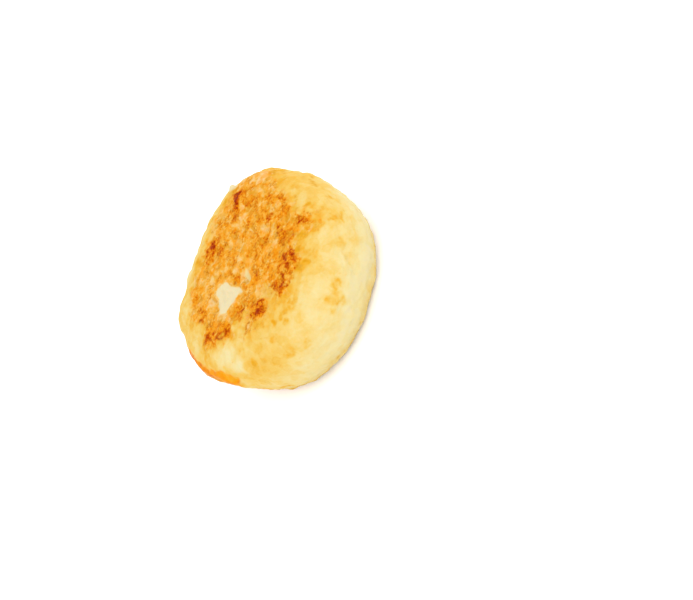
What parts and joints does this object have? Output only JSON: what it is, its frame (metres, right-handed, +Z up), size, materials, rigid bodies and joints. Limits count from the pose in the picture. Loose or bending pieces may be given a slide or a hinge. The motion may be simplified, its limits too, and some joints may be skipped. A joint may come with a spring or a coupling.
{
  "type": "syrnik",
  "caption": "Thick round curd-dough pancake with a browned, pitted crust on both faces and a pale, softly rounded wall.",
  "frame": {"origin": "middle of the puck's box, on the surface that the base rests on", "axes": "+Z up out of the browned face that shows, -Y towards the side of the wall that is seen in front, +X to the right"},
  "size_m": [0.065, 0.0658, 0.0255],
  "materials": {
    "fried_dough": "pale cream-yellow curd dough, golden to scorched brown on the faces, with a faint gloss of frying fat"
  },
  "bodies": {
    "root": {"syrnik": "fried_dough"}
  },
  "joints": []
}
